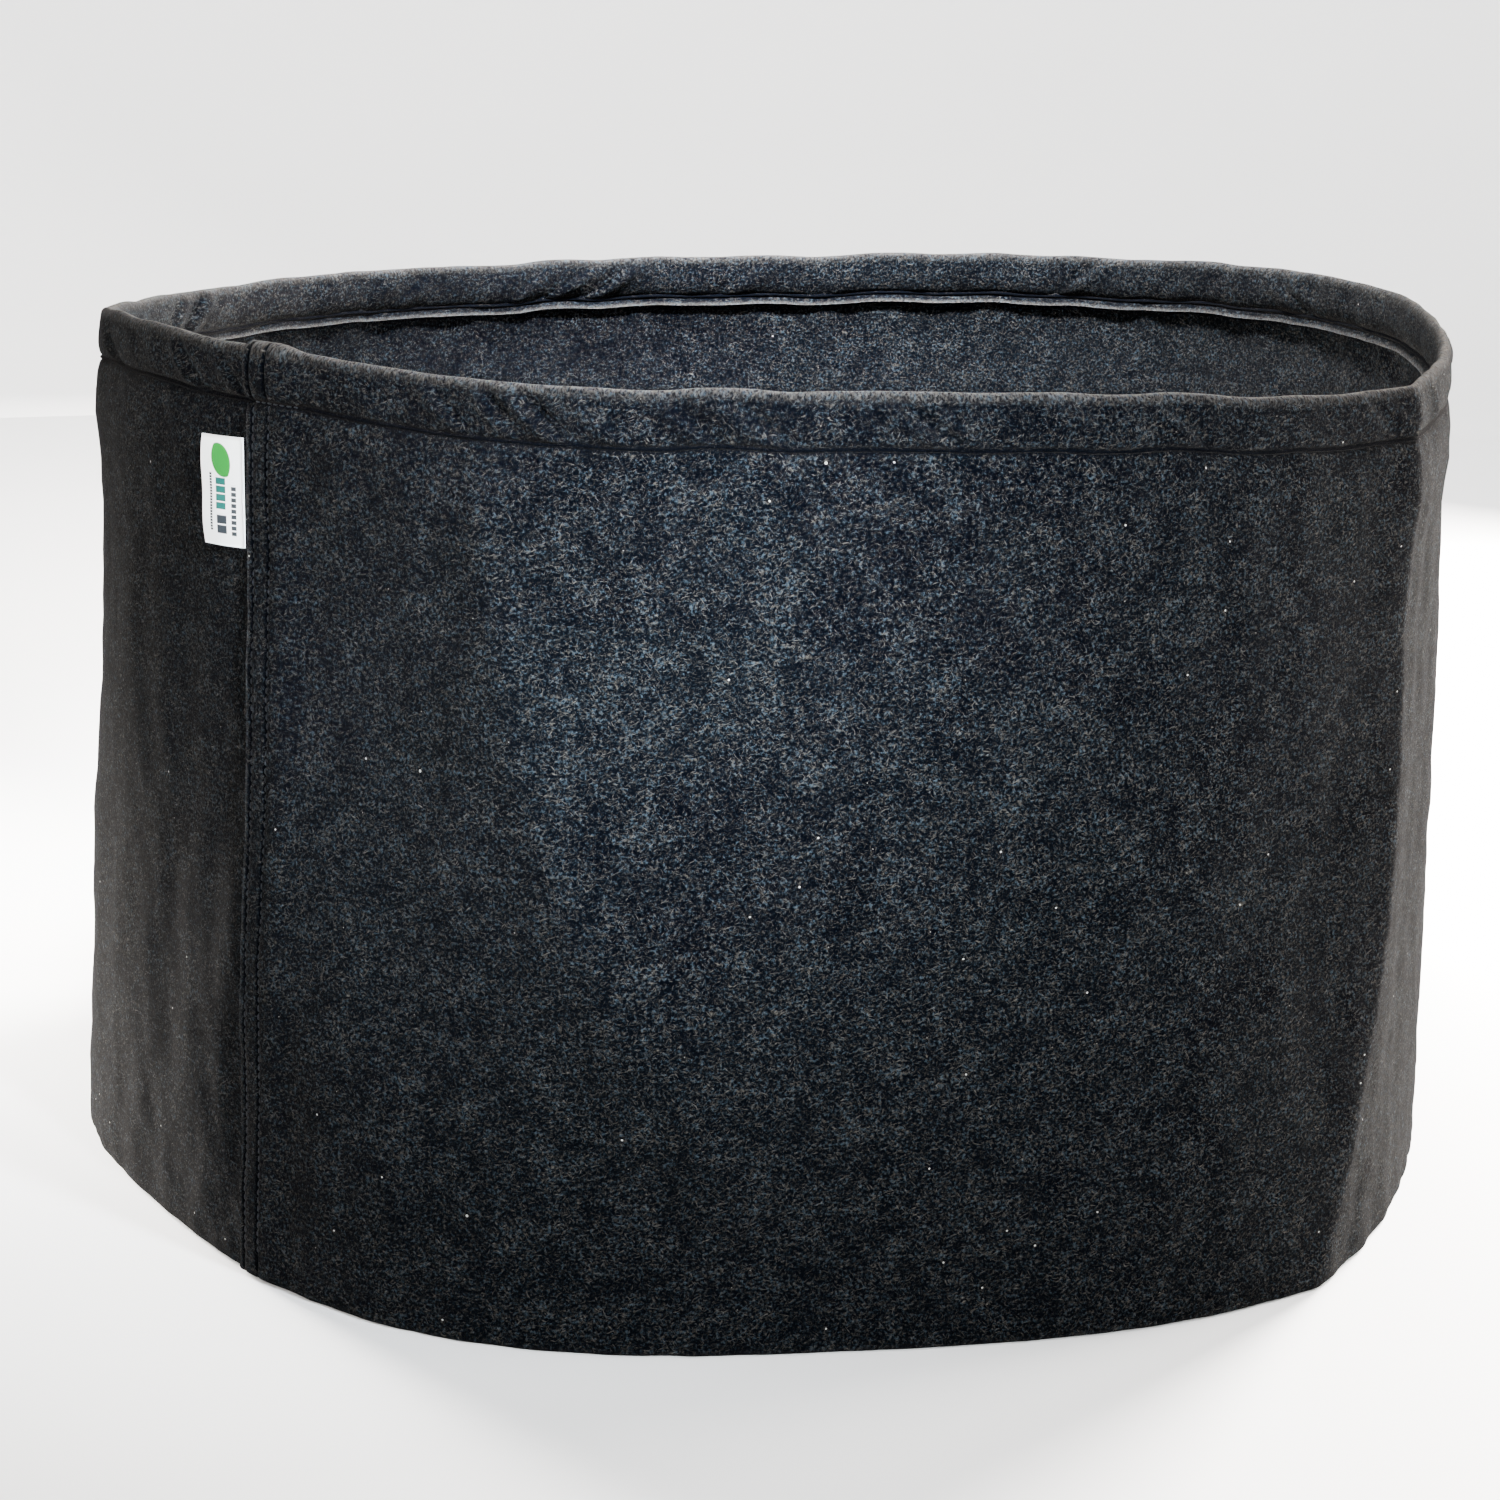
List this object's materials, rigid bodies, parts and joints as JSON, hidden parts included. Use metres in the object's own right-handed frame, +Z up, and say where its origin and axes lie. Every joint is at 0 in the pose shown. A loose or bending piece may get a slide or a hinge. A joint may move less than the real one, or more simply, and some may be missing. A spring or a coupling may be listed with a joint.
{
  "type": "fabric grow bag",
  "caption": "Large round open-topped felt planter bag with a folded hem, a lapped side seam, a sewn-in base and a tape label.",
  "frame": {"origin": "centre of the bag's underside, on the surface it stands on", "axes": "+Z up along the bag's axis; -Y towards the side seam and its label; +X to the right when the seam is looked at from outside"},
  "size_m": [0.802, 0.8076, 0.49],
  "materials": {
    "wall_felt": "matte needle felt",
    "base_felt": "matte needle felt",
    "thread": "matte thread",
    "label_tape": "satin woven tape"
  },
  "bodies": {
    "bag": {"wall_panel": "wall_felt", "base_panel": "base_felt", "hem_needle_thread": "thread", "hem_bobbin_thread": "thread", "edge_row_needle_thread": "thread", "edge_row_bobbin_thread": "thread", "inner_row_needle_thread": "thread", "inner_row_bobbin_thread": "thread", "base_needle_thread": "thread", "base_bobbin_thread": "thread"},
    "label": {"label": "label_tape"}
  },
  "joints": [
    {"name": "label_flap", "type": "hinge", "parent": "bag", "child": "label", "pos_m": [-0.0009, -0.4043, 0.4215], "axis": [0, 0, 1], "range_deg": [-8, 160], "stiffness_Nm_per_rad": 0.0001}
  ]
}
